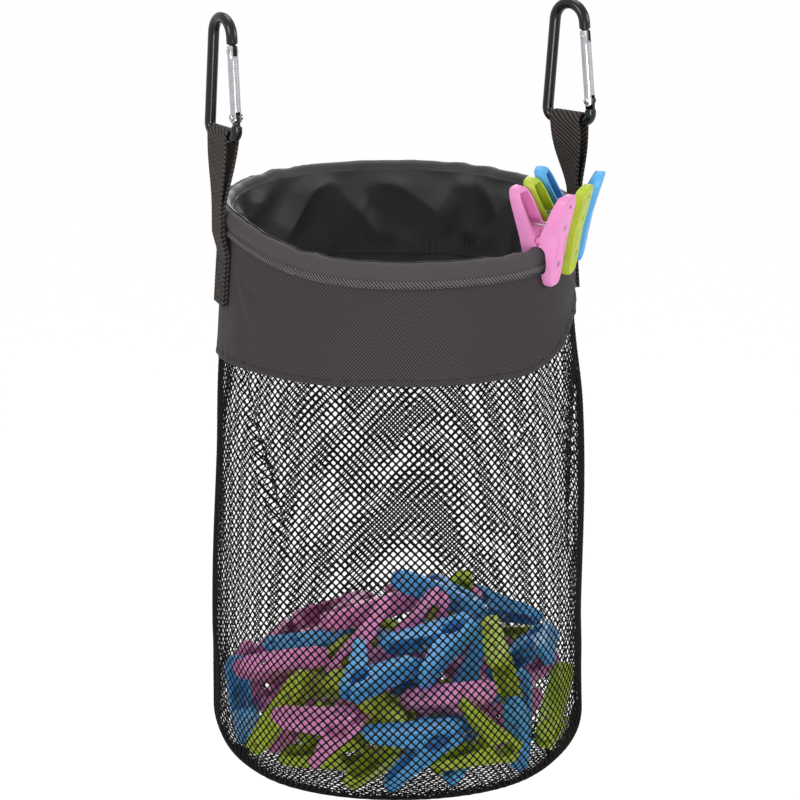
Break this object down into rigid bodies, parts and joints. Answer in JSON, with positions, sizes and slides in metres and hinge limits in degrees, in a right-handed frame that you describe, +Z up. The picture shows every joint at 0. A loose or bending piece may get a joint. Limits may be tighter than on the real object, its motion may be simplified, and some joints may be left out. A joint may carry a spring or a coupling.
{
  "type": "peg bag",
  "caption": "Round hanging peg bag: net body below a lined twill band on a hooped rim, webbing loops with spring-gate carabiners, sprung plastic pegs clipped on the rim and heaped inside.",
  "frame": {"origin": "midway between the two carabiners, level with the underside of their crowns, where the line that carries them passes", "axes": "+Z up, +X towards the right carabiner, -Y towards the front"},
  "size_m": [0.259, 0.2484, 0.5169],
  "materials": {
    "twill": "matte dark grey twill",
    "satin": "soft sheen black satin",
    "lip_cloth": "matte smooth cloth",
    "net": "matte black knitted net",
    "webbing": "matte ribbed black webbing",
    "black_enamel": "gloss black",
    "polished_steel": "polished",
    "spring_steel": "drawn wire",
    "pink_plastic": "satin moulded",
    "green_plastic": "satin moulded",
    "blue_plastic": "satin moulded"
  },
  "bodies": {
    "bag": {"rim_hoop": "spring_steel", "hoop_ferrule": "spring_steel", "rim_lip": "lip_cloth", "twill_tape": "twill", "band": "twill", "lining": "satin", "net_wall": "net", "net_base": "net", "side_seam": "net", "left_strap": "webbing", "right_strap": "webbing", "pink_peg_inner_jaw": "pink_plastic", "pink_peg_spring": "spring_steel", "green_peg_inner_jaw": "green_plastic", "green_peg_spring": "spring_steel", "blue_peg_inner_jaw": "blue_plastic", "blue_peg_spring": "spring_steel", "heap_peg_01": "pink_plastic", "heap_peg_02": "green_plastic", "heap_peg_03": "blue_plastic", "heap_peg_04": "pink_plastic", "heap_peg_05": "green_plastic", "heap_peg_06": "blue_plastic", "heap_peg_07": "pink_plastic", "heap_peg_08": "green_plastic", "heap_peg_09": "blue_plastic", "heap_peg_10": "pink_plastic", "heap_peg_11": "green_plastic", "heap_peg_12": "blue_plastic", "heap_peg_13": "pink_plastic", "heap_peg_14": "green_plastic", "heap_peg_15": "blue_plastic", "heap_peg_16": "pink_plastic", "heap_peg_17": "green_plastic", "heap_peg_18": "blue_plastic", "heap_peg_19": "pink_plastic", "heap_peg_20": "green_plastic", "heap_peg_21": "blue_plastic", "heap_peg_22": "pink_plastic", "heap_peg_23": "green_plastic", "heap_peg_24": "blue_plastic", "heap_peg_25": "pink_plastic", "heap_peg_26": "green_plastic", "heap_peg_27": "blue_plastic", "heap_peg_28": "pink_plastic"},
    "left_carabiner": {"left_carabiner_body": "black_enamel", "left_gate_rivet": "polished_steel"},
    "left_gate_arm": {"left_gate": "polished_steel", "left_latch_pin": "polished_steel", "left_gate_plunger": "spring_steel", "left_gate_spring": "spring_steel"},
    "right_carabiner": {"right_carabiner_body": "black_enamel", "right_gate_rivet": "polished_steel"},
    "right_gate_arm": {"right_gate": "polished_steel", "right_latch_pin": "polished_steel", "right_gate_plunger": "spring_steel", "right_gate_spring": "spring_steel"},
    "pink_outer_jaw": {"pink_peg_outer_jaw": "pink_plastic"},
    "green_outer_jaw": {"green_peg_outer_jaw": "green_plastic"},
    "blue_outer_jaw": {"blue_peg_outer_jaw": "blue_plastic"}
  },
  "joints": [
    {"name": "left_carabiner_swing", "type": "hinge", "parent": "bag", "child": "left_carabiner", "pos_m": [-0.11775, 0, -0.07375], "axis": [0.2588, -0.9659, 0], "range_deg": [-150, 150]},
    {"name": "left_gate_open", "type": "hinge", "parent": "left_carabiner", "child": "left_gate_arm", "pos_m": [-0.11322, -0.01689, -0.05961], "axis": [-0.9659, -0.2588, 0], "range_deg": [0, 20], "stiffness_Nm_per_rad": 0.1, "springref_deg": -22.92},
    {"name": "right_carabiner_swing", "type": "hinge", "parent": "bag", "child": "right_carabiner", "pos_m": [0.11775, 0, -0.07375], "axis": [-0.5592, 0.829, 0], "range_deg": [-150, 150]},
    {"name": "right_gate_open", "type": "hinge", "parent": "right_carabiner", "child": "right_gate_arm", "pos_m": [0.12753, -0.0145, -0.05961], "axis": [-0.829, -0.5592, 0], "range_deg": [0, 20], "stiffness_Nm_per_rad": 0.1, "springref_deg": -22.92},
    {"name": "pink_peg_open", "type": "hinge", "parent": "bag", "child": "pink_outer_jaw", "pos_m": [0.07376, -0.08946, -0.1354], "axis": [-0.7613, -0.6388, -0.1112], "range_deg": [0, 20], "stiffness_Nm_per_rad": 0.3, "springref_deg": -28.65, "deforming": ["pink_peg_spring"]},
    {"name": "green_peg_open", "type": "hinge", "parent": "bag", "child": "green_outer_jaw", "pos_m": [0.08908, -0.07423, -0.1322], "axis": [-0.6188, -0.7641, -0.1822], "range_deg": [0, 20], "stiffness_Nm_per_rad": 0.3, "springref_deg": -28.65, "deforming": ["green_peg_spring"]},
    {"name": "blue_peg_open", "type": "hinge", "parent": "bag", "child": "blue_outer_jaw", "pos_m": [0.10144, -0.05619, -0.12761], "axis": [-0.4577, -0.8608, -0.2223], "range_deg": [0, 20], "stiffness_Nm_per_rad": 0.3, "springref_deg": -28.65, "deforming": ["blue_peg_spring"]}
  ]
}
